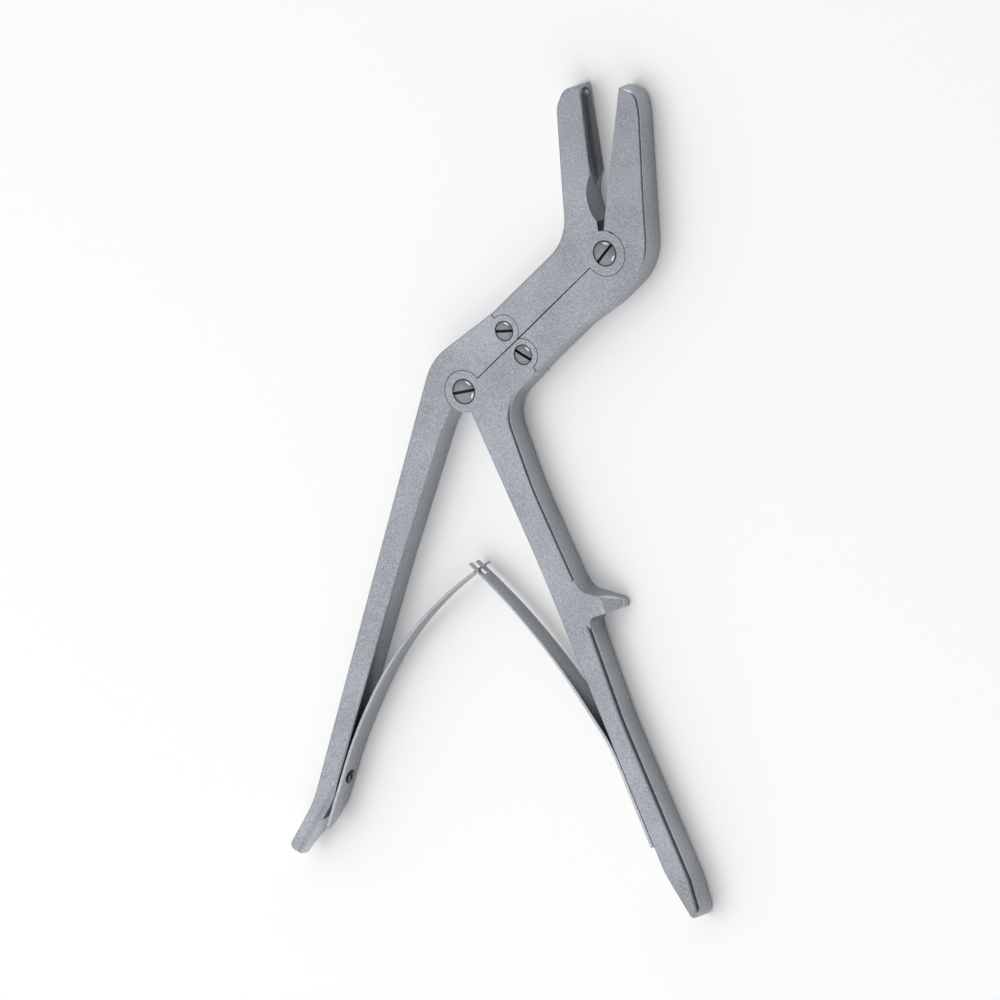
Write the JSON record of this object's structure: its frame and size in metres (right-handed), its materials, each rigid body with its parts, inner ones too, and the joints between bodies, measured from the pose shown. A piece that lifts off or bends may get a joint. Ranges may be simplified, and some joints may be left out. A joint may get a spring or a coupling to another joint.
{
  "type": "bone rongeur",
  "caption": "Double-action bone rongeur with an angled neck: spring-loaded handles close cupped cutting jaws through a lap-jointed linkage.",
  "frame": {"origin": "axis of the handle pivot, on the back face that lies on the table", "axes": "+Z out of the front face along every pivot axis, +Y from the handles towards the jaws, +X to the right seen from the front"},
  "size_m": [0.1451, 0.2635, 0.0099],
  "materials": {
    "satin_steel": "satin stainless steel",
    "screw_steel": "turned stainless steel",
    "spring_steel": "ground spring steel"
  },
  "bodies": {
    "right_handle": {"right_handle": "satin_steel", "right_spring_screw": "screw_steel"},
    "left_handle": {"left_handle": "satin_steel", "handle_pivot_screw": "screw_steel", "left_spring_screw": "screw_steel"},
    "right_jaw": {"right_jaw": "satin_steel", "right_link_screw": "screw_steel", "jaw_pivot_screw": "screw_steel"},
    "left_jaw": {"left_jaw": "satin_steel", "left_link_screw": "screw_steel"},
    "left_leaf": {"left_spring": "spring_steel"},
    "right_leaf": {"right_spring": "spring_steel"}
  },
  "joints": [
    {"name": "handle_pivot", "type": "hinge", "parent": "right_handle", "child": "left_handle", "pos_m": [0, 0, 0], "axis": [0, 0, 1], "range_deg": [0, 29.6], "stiffness_Nm_per_rad": 3, "springref_deg": -8.59},
    {"name": "right_link", "type": "hinge", "parent": "right_handle", "child": "right_jaw", "pos_m": [0.02182, 0.01274, 0], "axis": [0, 0, 1], "range_deg": [0, 22.7]},
    {"name": "jaw_pivot", "type": "hinge", "parent": "right_jaw", "child": "left_jaw", "pos_m": [0.05281, 0.0464, 0], "axis": [0, 0, 1], "range_deg": [-15.8, 0]},
    {"name": "left_leaf_flex", "type": "hinge", "parent": "left_handle", "child": "left_leaf", "pos_m": [-0.04288, -0.10355, 0.00483], "axis": [0, 0, 1], "range_deg": [0, 14.4], "deforming": ["left_spring"]},
    {"name": "right_leaf_flex", "type": "hinge", "parent": "right_handle", "child": "right_leaf", "pos_m": [0.04512, -0.10687, 0.00483], "axis": [0, 0, 1], "range_deg": [-14.4, 0], "deforming": ["right_spring"]}
  ],
  "couplings": [
    {"joint": "right_link", "follows": "handle_pivot", "ratio": 0.765},
    {"joint": "jaw_pivot", "follows": "handle_pivot", "ratio": -0.5325},
    {"joint": "left_leaf_flex", "follows": "handle_pivot", "ratio": 0.4834},
    {"joint": "right_leaf_flex", "follows": "handle_pivot", "ratio": -0.4846}
  ]
}
